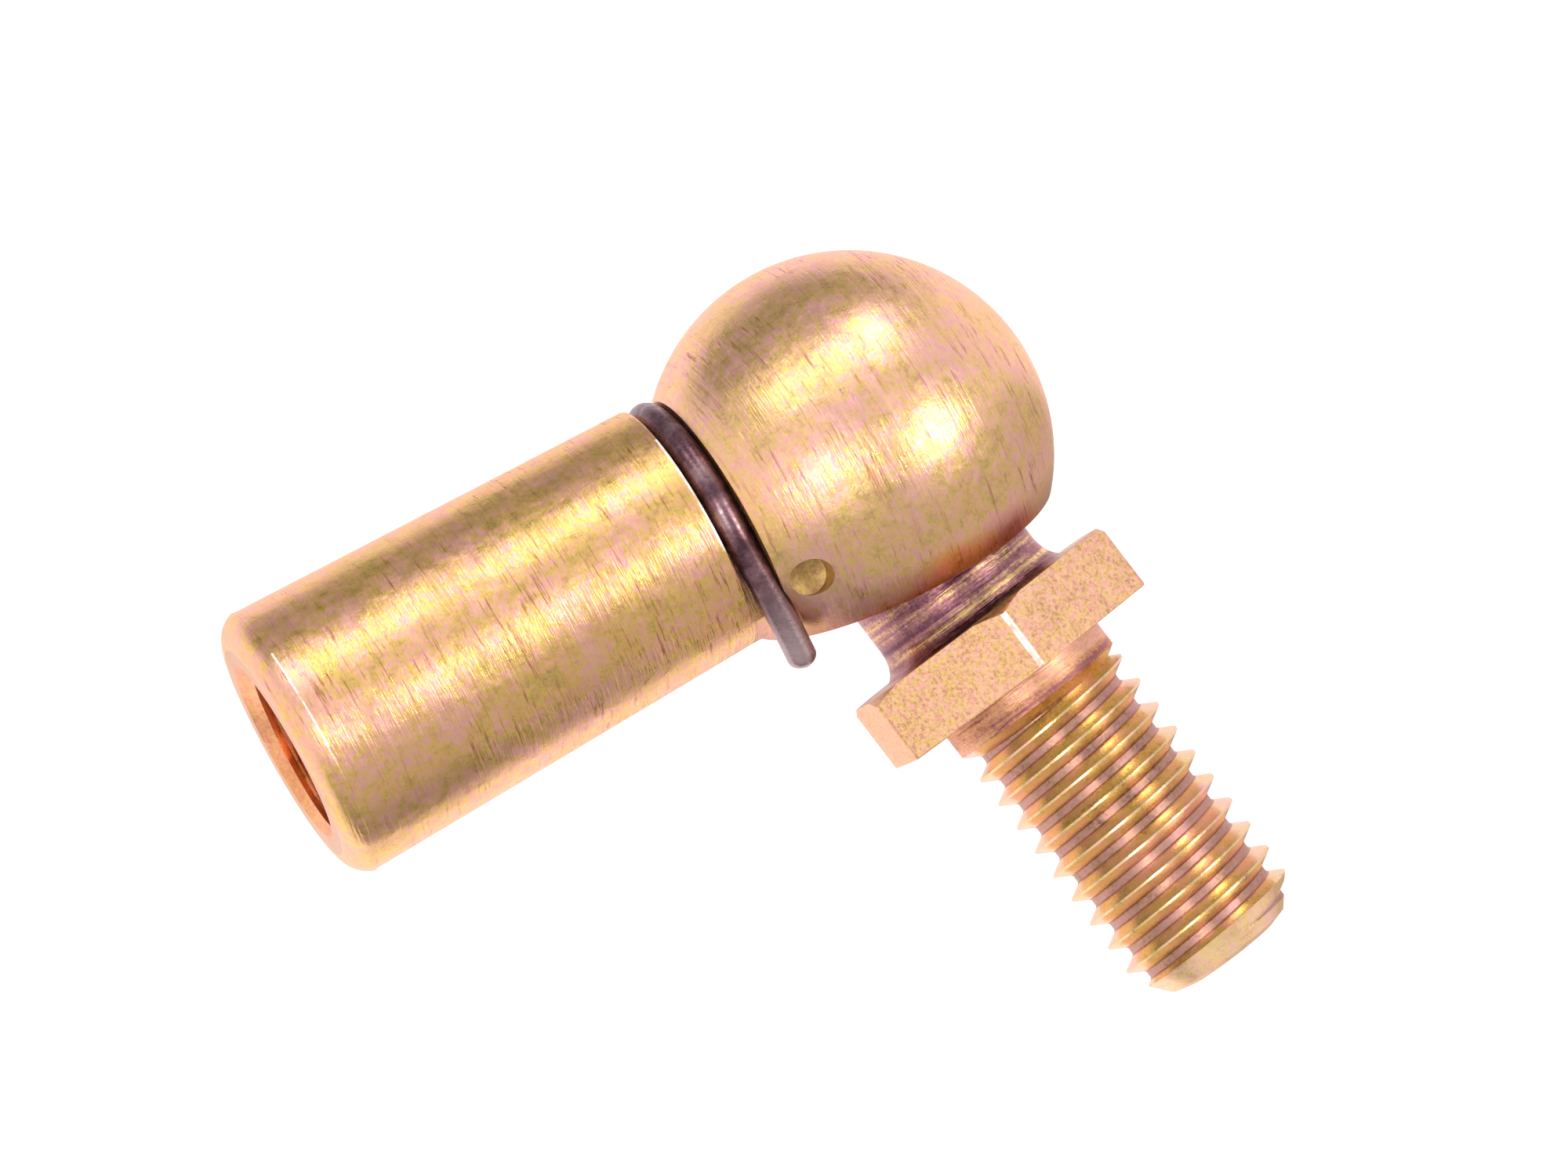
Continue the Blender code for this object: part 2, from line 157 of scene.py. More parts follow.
def turn(name, profile, steps=FINE):
    """Turn a profile of (radius, height) points about Z; it starts and ends on the axis."""
    bm = bmesh.new()
    points = [bm.verts.new((radius, 0.0, height)) for radius, height in profile]
    for start, end in zip(points, points[1:]):
        bm.edges.new((start, end))
    bmesh.ops.spin(bm, geom=bm.verts[:] + bm.edges[:], axis=(0, 0, 1), cent=(0, 0, 0),
                   angle=2 * math.pi, steps=steps, use_merge=True, use_duplicate=False)
    bmesh.ops.remove_doubles(bm, verts=bm.verts, dist=1e-7)
    return add_object(name, bm)


def lay_along_x(obj):
    """Turn an object whose axis is +Z so that its axis is +X."""
    obj.rotation_euler = (0.0, math.radians(90), 0.0)
    return obj


def box(name, low, high):
    """Make a box between two corners."""
    bm = bmesh.new()
    size = Vector(high) - Vector(low)
    centre = (Vector(high) + Vector(low)) / 2
    bmesh.ops.create_cube(bm, size=1.0, matrix=Matrix.Translation(centre) @ Matrix.Diagonal((*size, 1.0)))
    return add_object(name, bm)


def boolean(obj, other, operation):
    """Join, cut or keep the overlap with another object, which is used up."""
    modifier = obj.modifiers.new(other.name, "BOOLEAN")
    modifier.operation = operation
    modifier.object = other
    modifier.solver = "EXACT"
    apply_modifiers(obj)
    bpy.data.objects.remove(other)


def apply_modifiers(obj):
    """Replace an object's mesh by what its modifiers make of it."""
    bpy.context.view_layer.update()
    evaluated = obj.evaluated_get(bpy.context.evaluated_depsgraph_get())
    mesh = bpy.data.meshes.new_from_object(evaluated)
    obj.modifiers.clear()
    obj.data = mesh


def arc(radius, start, end, steps, centre=(0.0, 0.0)):
    """Points on an arc in (radius, height), angles from the radius axis."""
    angles = [start + (end - start) * i / steps for i in range(steps + 1)]
    return [(centre[0] + radius * math.cos(a), centre[1] + radius * math.sin(a)) for a in angles]


def thread_profile(major, minor):
    """One pitch of the thread as (radius, share of the pitch) points, with a rounded root."""
    flank = (major - minor) * math.tan(math.radians(30))
    crest = CREST_FLAT / 2
    root = crest + flank
    lift = (PITCH / 2 - root) * 0.35
    points = [(major, -crest), (major, crest), (minor + lift, root - lift * 0.58), (minor, root + lift * 0.6),
              (minor, PITCH - root - lift * 0.6), (minor + lift, PITCH - root + lift * 0.58)]
    return [(radius, along / PITCH) for radius, along in points]


def threaded_rod(name, major, minor, start, end, phase):
    """Right-hand threaded rod along -Z from start to end, closed by a fan at each end.

    The surface is one sheet: a column one full turn on is the same column, one pitch earlier.
    """
    profile = thread_profile(major, minor)
    rows_per_pitch = len(profile)
    rows = (math.ceil((end - start) / PITCH) + 1) * rows_per_pitch
    bm = bmesh.new()
    grid = {}

    def vertex(row, column):
        if column == THREAD_STEPS:
            return vertex(row - rows_per_pitch, 0)
        if (row, column) not in grid:
            angle = 2 * math.pi * column / THREAD_STEPS
            radius, share = profile[row % rows_per_pitch]
            turns = row // rows_per_pitch + share - column / THREAD_STEPS
            place = (radius * math.cos(angle), radius * math.sin(angle), -start - phase - PITCH * turns)
            grid[row, column] = bm.verts.new(place)
        return grid[row, column]

    for row in range(rows):
        for column in range(THREAD_STEPS):
            corners = [(row, column), (row, column + 1), (row + 1, column + 1), (row + 1, column)]
            bm.faces.new([vertex(*corner) for corner in corners])
    for last_row in (0, rows):
        loop = [vertex(last_row, column) for column in range(THREAD_STEPS)]
        loop += [vertex(last_row - rows_per_pitch + i, 0) for i in range(rows_per_pitch)]
        centre = bm.verts.new((0.0, 0.0, sum(v.co.z for v in loop) / len(loop)))
        for here, after in zip(loop, loop[1:] + loop[:1]):
            bm.faces.new((here, after, centre))
    return add_object(name, bm)


# ---- socket ----

def head_profile():
    """Half section of the hollow head: outside, rounded mouth rim, ring groove and pocket dome."""
    rim = 0.1 * MM
    outer_angle = -math.asin((MOUTH_DROP - rim) / (HEAD_RADIUS - rim))
    outside = arc(HEAD_RADIUS, math.pi / 2, outer_angle, 72)
    outside[0] = (0.0, HEAD_RADIUS)
    rim_centre = ((HEAD_RADIUS - rim) * math.cos(outer_angle), -MOUTH_DROP + rim)
    rim_arc = arc(rim, outer_angle, -math.pi / 2, 6, rim_centre)[1:]
    mouth = [(POCKET_RADIUS + 0.15 * MM, -MOUTH_DROP), (POCKET_RADIUS, -MOUTH_DROP + 0.15 * MM)]
    groove = arc(RING_WIRE_RADIUS + RUNNING_GAP, math.radians(-62), math.radians(62), 10,
                 (RING_RADIUS, -RING_DROP))
    dome = arc(POCKET_RADIUS, 0.0, math.pi / 2, 40)
    dome[-1] = (0.0, POCKET_RADIUS)
    return outside + rim_arc + mouth + groove + dome


def shank_profile():
    """Half section of the shank, from its open end (height 0) into the wall of the head."""
    edge = SHANK_EDGE_ROUND
    centre = (SHANK_END_RADIUS - edge * math.cos(SHANK_EDGE_BREAK), edge)
    rounded = arc(edge, -math.pi / 2, SHANK_EDGE_BREAK, 14, centre)
    core_radius = SHANK_NECK_RADIUS - 0.9 * MM
    wall_radius = HEAD_RADIUS - 0.5 * MM
    dish_start = math.asin(core_radius / wall_radius)
    dish = [(wall_radius * math.sin(dish_start * (1 - i / 6)),
             BALL_CENTRE.x - wall_radius * math.cos(dish_start * (1 - i / 6))) for i in range(7)]
    dish[-1] = (0.0, dish[-1][1])
    slope = (SHANK_END_RADIUS - SHANK_NECK_RADIUS) / SHOULDER_X
    edge_end = rounded[-1][1] + EDGE_LINE
    return [(0.0, 0.0), *rounded, (SHANK_END_RADIUS - slope * edge_end, edge_end),
            (SHANK_NECK_RADIUS, SHOULDER_X), (SHANK_NECK_RADIUS, 20.1 * MM),
            (core_radius, 20.7 * MM), *dish]


def neck_groove():
    """Ring-shaped cutter for the neck that also breaks the shoulder's edge; open under the pocket."""
    outer = HEAD_RADIUS + 1.0 * MM
    flare = SHANK_NECK_RADIUS - EDGE_BREAK
    root = NECK_RADIUS + EDGE_BREAK
    section = [(outer, SHOULDER_X - EDGE_BREAK), (SHANK_NECK_RADIUS + 0.004 * MM, SHOULDER_X - EDGE_BREAK),
               (SHANK_NECK_RADIUS - 0.03 * MM, SHOULDER_X - 0.03 * MM), (flare, SHOULDER_X),
               (root, SHOULDER_X), (NECK_RADIUS, SHOULDER_X + EDGE_BREAK),
               (NECK_RADIUS, NECK_FAR_X - EDGE_BREAK), (root, NECK_FAR_X), (outer, NECK_FAR_X)]
    bm = bmesh.new()
    points = [bm.verts.new((radius, 0.0, height)) for radius, height in section]
    for start, end in zip(points, points[1:] + points[:1]):
        bm.edges.new((start, end))
    bmesh.ops.spin(bm, geom=bm.verts[:] + bm.edges[:], axis=(0, 0, 1), cent=(0, 0, 0),
                   angle=2 * math.pi, steps=FINE, use_merge=True, use_duplicate=False)
    bmesh.ops.remove_doubles(bm, verts=bm.verts, dist=1e-7)
    ring = lay_along_x(add_object("cut_neck", bm))
    low = (SHOULDER_X - 1.0 * MM, -NECK_BRIDGE_HALF, -outer - 1.0 * MM)
    high = (NECK_FAR_X + 1.0 * MM, NECK_BRIDGE_HALF, 0.0)
    boolean(ring, box("cut_neck_bridge", low, high), "DIFFERENCE")
    return ring


def bore_cutter():
    """Threaded hole with a drilled end and a countersunk mouth, along +X from the origin."""
    rod = threaded_rod("cut_bore", BORE_MAJOR, BORE_MINOR, -3 * PITCH, BORE_THREAD_END, 0.0)
    limit = turn("cut_bore_limit", [(0.0, 1.0 * MM), (6.0 * MM, 1.0 * MM),
                                    (6.0 * MM, 0.6 * MM - BORE_THREAD_END), (BORE_MINOR, -BORE_THREAD_END),
                                    (0.0, -BORE_THREAD_END)])
    boolean(rod, limit, "INTERSECT")
    drill_radius = BORE_MINOR + 0.02 * MM
    sink = drill_radius - 0.15 * MM
    drill = turn("cut_bore_drill", [(0.0, 0.8 * MM), (BORE_MOUTH_RADIUS + 0.9 * MM, 0.8 * MM),
                                    (BORE_MOUTH_RADIUS + 0.1 * MM, 0.0), (BORE_MOUTH_RADIUS, -0.1 * MM),
                                    (sink, -(BORE_MOUTH_RADIUS - sink)),
                                    (sink, -BORE_DRILL_END), (0.0, -BORE_DRILL_END - 1.8 * MM)])
    boolean(rod, drill, "UNION")
    rod.rotation_euler = (0.0, math.radians(-90), 0.0)
    return rod


def build_socket():
    """Head and shank in one piece, cut by the neck groove, cross holes, clip channels and bore."""
    socket = turn("socket_body", head_profile())
    socket.location = BALL_CENTRE
    boolean(socket, lay_along_x(turn("add_shank", shank_profile())), "UNION")
    boolean(socket, neck_groove(), "DIFFERENCE")
    for side in (-1, 1):
        depth = 4 * MM
        hole = turn("cut_hole", [(0.0, 0.0), (HOLE_RADIUS, 0.35 * MM), (HOLE_RADIUS, depth),
                                 (0.0, depth)], 48)
        hole.rotation_euler = (math.radians(-90 * side), 0.0, 0.0)
        hole.location = (HOLE_X, side * HOLE_FLOOR_Y, HOLE_Z)
        boolean(socket, hole, "DIFFERENCE")
    route = clip_route(4)
    in_groove = [i for i, point in enumerate(route) if point.z > 0.3 * MM]
    for name, stretch in (("cut_tail", route[:in_groove[0]]), ("cut_hook", route[in_groove[-1]:])):
        boolean(socket, wire(name, stretch, CLIP_WIRE_RADIUS + CLIP_CLEARANCE, 6), "DIFFERENCE")
    boolean(socket, bore_cutter(), "DIFFERENCE")
    settle(socket)
    return socket


# ---- stud ----

def stud_blank_profile():
    """Half section of ball, neck and concave collar, along -Z, ending inside the hexagon."""
    neck_angle = math.asin(STUD_NECK_RADIUS / BALL_RADIUS)
    ball = arc(BALL_RADIUS, math.pi / 2, neck_angle - math.pi / 2, 60)
    ball[0] = (0.0, BALL_RADIUS)
    sweep = HEX_TOP - COLLAR_START
    flare = COLLAR_RADIUS - STUD_NECK_RADIUS
    collar = [(STUD_NECK_RADIUS + flare * (1 - math.cos(math.pi / 2 * i / 14)),
               -COLLAR_START - sweep * math.sin(math.pi / 2 * i / 14)) for i in range(15)]
    inside = HEX_TOP + 1.2 * MM
    return ball + collar + [(COLLAR_RADIUS, -inside), (0.0, -inside)]


def hexagon():
    """Hexagon with softened corners and a 30 degree chamfer on its face towards the ball."""
    corner = HEX_ACROSS_FLATS / 2 / math.cos(math.radians(30))
    bm = bmesh.new()
    centre = Matrix.Translation((0.0, 0.0, -(HEX_TOP + HEX_BOTTOM) / 2))
    spin = Matrix.Rotation(HEX_CORNER_HEADING, 4, "Z") @ Matrix.Rotation(math.radians(90), 4, "Z")
    bmesh.ops.create_cone(bm, cap_ends=True, segments=6, radius1=corner, radius2=corner,
                          depth=HEX_BOTTOM - HEX_TOP, matrix=centre @ spin)
    upright = [e for e in bm.edges if abs(e.verts[0].co.z - e.verts[1].co.z) > 1 * MM]
    bmesh.ops.bevel(bm, geom=upright, offset=0.16 * MM, segments=3, affect="EDGES", profile=0.5)
    lower = [e for e in bm.edges if max(v.co.z for v in e.verts) < -HEX_BOTTOM + 0.01 * MM]
    bmesh.ops.bevel(bm, geom=lower, offset=0.07 * MM, segments=2, affect="EDGES", profile=0.5)
    solid = add_object("add_hexagon", bm)
    outer = corner + 0.4 * MM
    drop = (outer - HEX_FACE_RADIUS) * math.tan(math.radians(30))
    over = 0.2 * MM
    slope = over / math.tan(math.radians(30))
    limit = turn("cut_hexagon", [(0.0, -HEX_TOP + over), (HEX_FACE_RADIUS - slope, -HEX_TOP + over),
                                 (outer, -HEX_TOP - drop), (outer, -HEX_BOTTOM - over),
                                 (0.0, -HEX_BOTTOM - over)])
    boolean(solid, limit, "INTERSECT")
    return solid


def stud_thread():
    """Threaded end of the stud with its tip chamfer."""
    lead = 3 * PITCH
    heading_share = FIRST_CREST_HEADING / (2 * math.pi)
    phase = (FIRST_CREST - THREAD_START + lead + PITCH * heading_share) % PITCH
    rod = threaded_rod("add_thread", STUD_MAJOR, STUD_MINOR, THREAD_START - lead, STUD_TIP + lead, phase)
    over = 0.3 * MM
    outer = STUD_MAJOR + over
    slope = (TIP_CHAMFER - TIP_EDGE) / (STUD_MAJOR - TIP_EDGE_RADIUS)
    chamfer_start = -STUD_TIP + TIP_CHAMFER + over * slope
    start = -THREAD_START + 0.5 * MM
    lead_radius = RELIEF_RADIUS - 0.2 * MM
    limit = turn("cut_thread", [(0.0, start), (lead_radius, start), (outer, start - outer + lead_radius),
                                (outer, chamfer_start), (TIP_EDGE_RADIUS, -STUD_TIP + TIP_EDGE + 0.005 * MM),
                                (TIP_RADIUS, -STUD_TIP), (0.0, -STUD_TIP)])
    boolean(rod, limit, "INTERSECT")
    return rod


def stud_placement():
    """Where the stud's own axes lie: ball centre at the origin and the stud along -Z."""
    hinge = Vector((math.sin(STUD_HEADING), -math.cos(STUD_HEADING), 0.0))
    return Matrix.Translation(BALL_CENTRE) @ Matrix.Rotation(STUD_LEAN, 4, hinge)


def build_stud():
    """Ball, neck, collar, hexagon and thread in one piece, along its own -Z."""
    stud = turn("stud_body", stud_blank_profile())
    boolean(stud, hexagon(), "UNION")
    relief = turn("add_relief", [(0.0, -HEX_BOTTOM + 1.0 * MM), (RELIEF_RADIUS, -HEX_BOTTOM + 1.0 * MM),
                                 (RELIEF_RADIUS, -RELIEF_END),
                                 (STUD_MINOR - 0.1 * MM, -RELIEF_END - 0.5 * MM),
                                 (0.0, -RELIEF_END - 0.5 * MM)])
    boolean(stud, relief, "UNION")
    boolean(stud, stud_thread(), "UNION")
    return stud


# ---- wires ----

def smooth_route(points, steps):
    """Points on a smooth curve that passes through each given point."""
    padded = [2 * points[0] - points[1], *points, 2 * points[-1] - points[-2]]
    route = []
    for p0, p1, p2, p3 in zip(padded, padded[1:], padded[2:], padded[3:]):
        for i in range(steps):
            t = i / steps
            route.append(0.5 * (2 * p1 + (p2 - p0) * t + (2 * p0 - 5 * p1 + 4 * p2 - p3) * t ** 2
                                + (3 * p1 - p0 - 3 * p2 + p3) * t ** 3))
    return [*route, points[-1]]


def wire(name, route, radius, roundness, end_length=0.0):
    """Round wire along a route; its ends are domed over end_length when that is given."""
    curve = bpy.data.curves.new(name, "CURVE")
    curve.dimensions = "3D"
    curve.bevel_depth = radius
    curve.bevel_resolution = roundness
    curve.use_fill_caps = True
    spline = curve.splines.new("POLY")
    spline.points.add(len(route) - 1)
    for point, place in zip(spline.points, route):
        point.co = (*place, 1.0)
    if end_length:
        for ends in (spline.points, list(spline.points)[::-1]):
            total = 0.0
            for here, after in zip(ends, ends[1:]):
                share = min(1.0, total / end_length)
                here.radius = max(0.25, math.sqrt(1 - (1 - share) ** 2))
                total += (after.co - here.co).length
                if total > end_length:
                    break
    guide = bpy.data.objects.new(name + "_curve", curve)
    bpy.context.scene.collection.objects.link(guide)
    bpy.context.view_layer.update()
    evaluated = guide.evaluated_get(bpy.context.evaluated_depsgraph_get())
    bm = bmesh.new()
    bm.from_mesh(bpy.data.meshes.new_from_object(evaluated))
    bmesh.ops.remove_doubles(bm, verts=bm.verts, dist=1e-6)
    bpy.data.objects.remove(guide)
    return add_object(name, bm)


def build_ring():
    """Open ring of round wire under the ball's widest line."""
    half = RING_GAP_ANGLE / 2
    angles = [half + (2 * math.pi - 2 * half) * i / 180 for i in range(181)]
    route = [(RING_RADIUS * math.cos(a), RING_RADIUS * math.sin(a), -RING_DROP) for a in angles]
    ring = wire("ring_wire", route, RING_WIRE_RADIUS, 6)
    ring.location = BALL_CENTRE
    return ring


def clip_route(steps):
    """Centre line of the clip: tail, turn over the neck, and the hooked end in its hole."""
    tail = [(20.16, -4.7, -6.38), (20.14, -4.76, -4.7), (20.08, -4.82, -2.9), (19.98, -4.84, -1.4)]
    turn_over = []
    for i in range(9):
        angle = math.radians(-90 + 172 * i / 8)
        lean = 0.05 * math.cos(math.pi * i / 8) ** 2
        turn_over.append((CLIP_TOP_X / MM + lean, CLIP_TURN_RADIUS / MM * math.sin(angle),
                          CLIP_TURN_RADIUS / MM * math.cos(angle)))
    hook = [(19.97, 5.35, -1.0), (20.1, 6.35, -1.9), (20.45, 7.05, -2.45), (21.1, 7.35, -2.72),
            (21.56, 7.0, -2.75), (21.64, 6.4, -2.75), (21.64, 5.7, -2.75)]
    return smooth_route([Vector(p) * MM for p in tail + turn_over + hook], steps)


def build_clip():
    """Safety clip of round spring wire."""
    return wire("clip_wire", clip_route(14), CLIP_WIRE_RADIUS, 8, CLIP_WIRE_RADIUS * 0.8)


# ---- finishes ----

def settle(obj):
    """Bake an object's place into its mesh."""
    bpy.context.view_layer.update()
    obj.data.transform(obj.matrix_world)
    obj.matrix_world = Matrix.Identity(4)


def shade(obj, angle=32):
    """Smooth shading with sharp edges, weighted by face area."""
    obj.data.shade_smooth()
    obj.data.set_sharp_from_angle(angle=math.radians(angle))
    weighted = obj.modifiers.new("even_shading", "WEIGHTED_NORMAL")
    weighted.keep_sharp = True
    weighted.weight = 50


class Nodes:
    """Short calls for building a material's node tree."""

    def __init__(self, name, place=None):
        self.material = bpy.data.materials.new(name)
        self.material.use_nodes = True
        self.tree = self.material.node_tree
        self.shader = self.tree.nodes["Principled BSDF"]
        self.place = self.node("ShaderNodeTexCoord").outputs["Object"]
        if place:
            own = self.node("ShaderNodeMapping", vector_type="TEXTURE")
            own.inputs["Location"].default_value = place.to_translation()
            own.inputs["Rotation"].default_value = place.to_euler()
            self.link(self.place, own.inputs["Vector"])
            self.place = own.outputs["Vector"]

    def node(self, kind, **settings):
        made = self.tree.nodes.new(kind)
        for key, value in settings.items():
            setattr(made, key, value)
        return made

    def link(self, source, target):
        self.tree.links.new(source, target)

    def stretched(self, scale):
        """The object's own coordinates, scaled along each axis."""
        mapping = self.node("ShaderNodeMapping")
        mapping.inputs["Scale"].default_value = scale
        self.link(self.place, mapping.inputs["Vector"])
        return mapping.outputs["Vector"]

    def noise(self, vector, scale, detail=3.0, roughness=0.55, distortion=0.0):
        noise = self.node("ShaderNodeTexNoise")
        noise.inputs["Scale"].default_value = scale
        noise.inputs["Detail"].default_value = detail
        noise.inputs["Roughness"].default_value = roughness
        noise.inputs["Distortion"].default_value = distortion
        self.link(vector, noise.inputs["Vector"])
        return noise.outputs["Fac"]

    def ramp(self, value, stops):
        ramp = self.node("ShaderNodeValToRGB")
        elements = ramp.color_ramp.elements
        while len(elements) < len(stops):
            elements.new(0.5)
        for element, (position, colour) in zip(elements, stops):
            element.position = position
            element.color = (*colour, 1.0)
        self.link(value, ramp.inputs["Fac"])
        return ramp.outputs["Color"]

    def span(self, value, low, high, from_low=0.3, from_high=0.7):
        """Carry a noise value onto another range."""
        spread = self.node("ShaderNodeMapRange")
        for name, number in (("From Min", from_low), ("From Max", from_high),
                             ("To Min", low), ("To Max", high)):
            spread.inputs[name].default_value = number
        self.link(value, spread.inputs["Value"])
        return spread.outputs["Result"]

    def mix(self, share, first, second, blend="MIX"):
        mix = self.node("ShaderNodeMix", data_type="RGBA", blend_type=blend)
        colours = [socket for socket in mix.inputs if socket.type == "RGBA"]
        for source, target in ((share, mix.inputs["Factor"]), (first, colours[0]), (second, colours[1])):
            if isinstance(source, bpy.types.NodeSocket):
                self.link(source, target)
            elif isinstance(source, tuple):
                target.default_value = (*source, 1.0)
            else:
                target.default_value = source
        return next(socket for socket in mix.outputs if socket.type == "RGBA")

    def math(self, operation, first, second):
        made = self.node("ShaderNodeMath", operation=operation)
        for source, target in ((first, made.inputs[0]), (second, made.inputs[1])):
            if isinstance(source, bpy.types.NodeSocket):
                self.link(source, target)
            else:
                target.default_value = source
        return made.outputs[0]

    def bump(self, height, strength, distance, under=None):
        bump = self.node("ShaderNodeBump")
        bump.inputs["Strength"].default_value = strength
        bump.inputs["Distance"].default_value = distance
        self.link(height, bump.inputs["Height"])
        if under:
            self.link(under, bump.inputs["Normal"])
        return bump.outputs["Normal"]


# pale bare zinc of worn edges, also used as a painted highlight
PALE_WEAR_AND_HIGHLIGHT = (1.0, 0.93, 0.88)
HEAD_TONES = ((0.36, (0.66, 0.36, 0.42)), (0.42, (0.78, 0.58, 0.25)), (0.48, (0.93, 0.64, 0.30)),
              (0.54, (0.96, 0.58, 0.50)))
SHANK_TONES = ((0.36, (0.60, 0.35, 0.30)), (0.42, (0.74, 0.56, 0.19)), (0.48, (0.91, 0.61, 0.23)),
               (0.54, (0.95, 0.56, 0.45)))
# painted shade: colour multiplied into the head towards its mouth, standing for the shade and dark
# reflections under it
MOUTH_PAINTED_SHADE_COLOUR = (0.55, 0.38, 0.46)
MOTTLED = (0.27, 0.30, 0.33, 0.10)
STREAKED = (0.10, 0.14, 0.21, 0.55)
GRAINED = (0.08, 0.22, 0.70, 0.0)


def yellow_zinc(name, axis, place=None, tones=SHANK_TONES, marks=1.0, grain=1.0, roughness=(0.24, 0.42),
                pattern=MOTTLED, painted_shade_below=None):
    """Yellow chromate over zinc: iridescent mottling, fine speckle and turning marks round an axis.

    The pattern gives the shares of clouds, patches, speckle and bands round the axis. Where a
    span of heights for painted shade is given, the finish turns gradually darker from its upper to its lower
    height.
    """
    n = Nodes(name, place)
    clouds = n.noise(n.place, 420, 4, 0.6, 0.6)
    patches = n.noise(n.place, 1700, 5, 0.7)
    speckle = n.noise(n.place, 6500, 3, 0.75)
    fine = [430.0, 430.0, 430.0]
    fine[axis] = 6200.0
    grooves = n.noise(n.stretched(fine), 1.0, 3, 0.75)
    broad = [70.0, 70.0, 70.0]
    broad[axis] = 1800.0
    bands = n.noise(n.stretched(broad), 1.0, 3, 0.6)
    tone = n.math("MULTIPLY", clouds, pattern[0])
    for layer, weight in zip((patches, speckle, bands), pattern[1:]):
        tone = n.math("ADD", tone, n.math("MULTIPLY", layer, weight))
    base = n.ramp(tone, tones)
    tints = n.ramp(n.noise(n.place, 3600, 2, 0.8), [(0.38, (0.98, 1.0, 0.60)), (0.50, (1.0, 0.95, 0.90)),
                                                    (0.62, (1.0, 0.78, 1.0))])
    base = n.mix(min(1.0, 0.7 * grain), base, tints, "MULTIPLY")
    worked = n.span(n.noise(n.place, 260, 3, 0.6), 0.25, 1.0, 0.42, 0.58)
    scratches = n.ramp(grooves, [(0.34, (0.42, 0.22, 0.20)), (0.43, (1.0, 1.0, 1.0))])
    base = n.mix(n.math("MULTIPLY", worked, 0.75 * marks), base, scratches, "MULTIPLY")
    # painted shade: darken the base from the upper to the lower given height, towards the head's mouth
    if painted_shade_below:
        split = n.node("ShaderNodeSeparateXYZ")
        n.link(n.place, split.inputs["Vector"])
        share = n.span(split.outputs["Z"], 1.0, 0.0, *painted_shade_below)
        base = n.mix(share, base, MOUTH_PAINTED_SHADE_COLOUR, "MULTIPLY")
    n.link(base, n.shader.inputs["Base Color"])
    n.link(n.span(patches, *roughness), n.shader.inputs["Roughness"])
    relief = n.bump(speckle, 0.5 * grain, 0.02 * MM)
    relief = n.bump(n.math("MULTIPLY", grooves, worked), 1.0 * marks, 0.05 * MM, relief)
    relief = n.bump(bands, 0.6 * marks, 0.05 * MM, relief)
    n.link(relief, n.shader.inputs["Normal"])
    n.shader.inputs["Metallic"].default_value = 1.0
    n.shader.inputs["Specular Tint"].default_value = (1.0, 0.86, 0.84, 1.0)
    return n.material


def worn_edge_with_painted_highlight(name, place=None):
    """Edge where the chromate is worn down to pale bare zinc, in patches; the pale patches also serve as a
    painted highlight along the edge.
    """
    n = Nodes(name, place)
    worn_and_lit_patches = n.noise(n.place, 700, 4, 0.7)
    n.link(n.ramp(worn_and_lit_patches, [(0.40, (0.70, 0.46, 0.30)), (0.52, PALE_WEAR_AND_HIGHLIGHT)]), n.shader.inputs["Base Color"])
    n.link(n.span(worn_and_lit_patches, 0.55, 0.35), n.shader.inputs["Roughness"])
    n.link(n.bump(worn_and_lit_patches, 0.3, 0.02 * MM), n.shader.inputs["Normal"])
    n.shader.inputs["Metallic"].default_value = 0.7
    return n.material


CLIP_TONES = ((0.38, (0.085, 0.04, 0.055)), (0.52, (0.19, 0.10, 0.125)), (0.66, (0.32, 0.21, 0.23)))


def spring_wire(name, tones, tail_painted_light=None):
    """Oiled dark spring wire: blotched, fine grained, and paler towards its lower end with painted light when
    a colour for it is given.
    """
    n = Nodes(name)
    blotches = n.noise(n.place, 900, 5, 0.65)
    fine = n.noise(n.place, 7000, 3, 0.6)
    base = n.ramp(blotches, tones)
    # painted light: the clip's tail is made paler towards its lower end, standing for how it is lit
    if tail_painted_light:
        split = n.node("ShaderNodeSeparateXYZ")
        n.link(n.place, split.inputs["Vector"])
        share = n.span(split.outputs["Z"], 0.0, 0.75, -2.2 * MM, -5.2 * MM)
        base = n.mix(share, base, tail_painted_light)
    n.link(base, n.shader.inputs["Base Color"])
    n.link(n.span(fine, 0.20, 0.40), n.shader.inputs["Roughness"])
    n.link(n.bump(fine, 0.35, 0.02 * MM), n.shader.inputs["Normal"])
    n.shader.inputs["Metallic"].default_value = 0.85
    return n.material


def give(obj, *materials):
    """Replace an object's material slots."""
    obj.data.materials.clear()
    for material in materials:
        obj.data.materials.append(material)


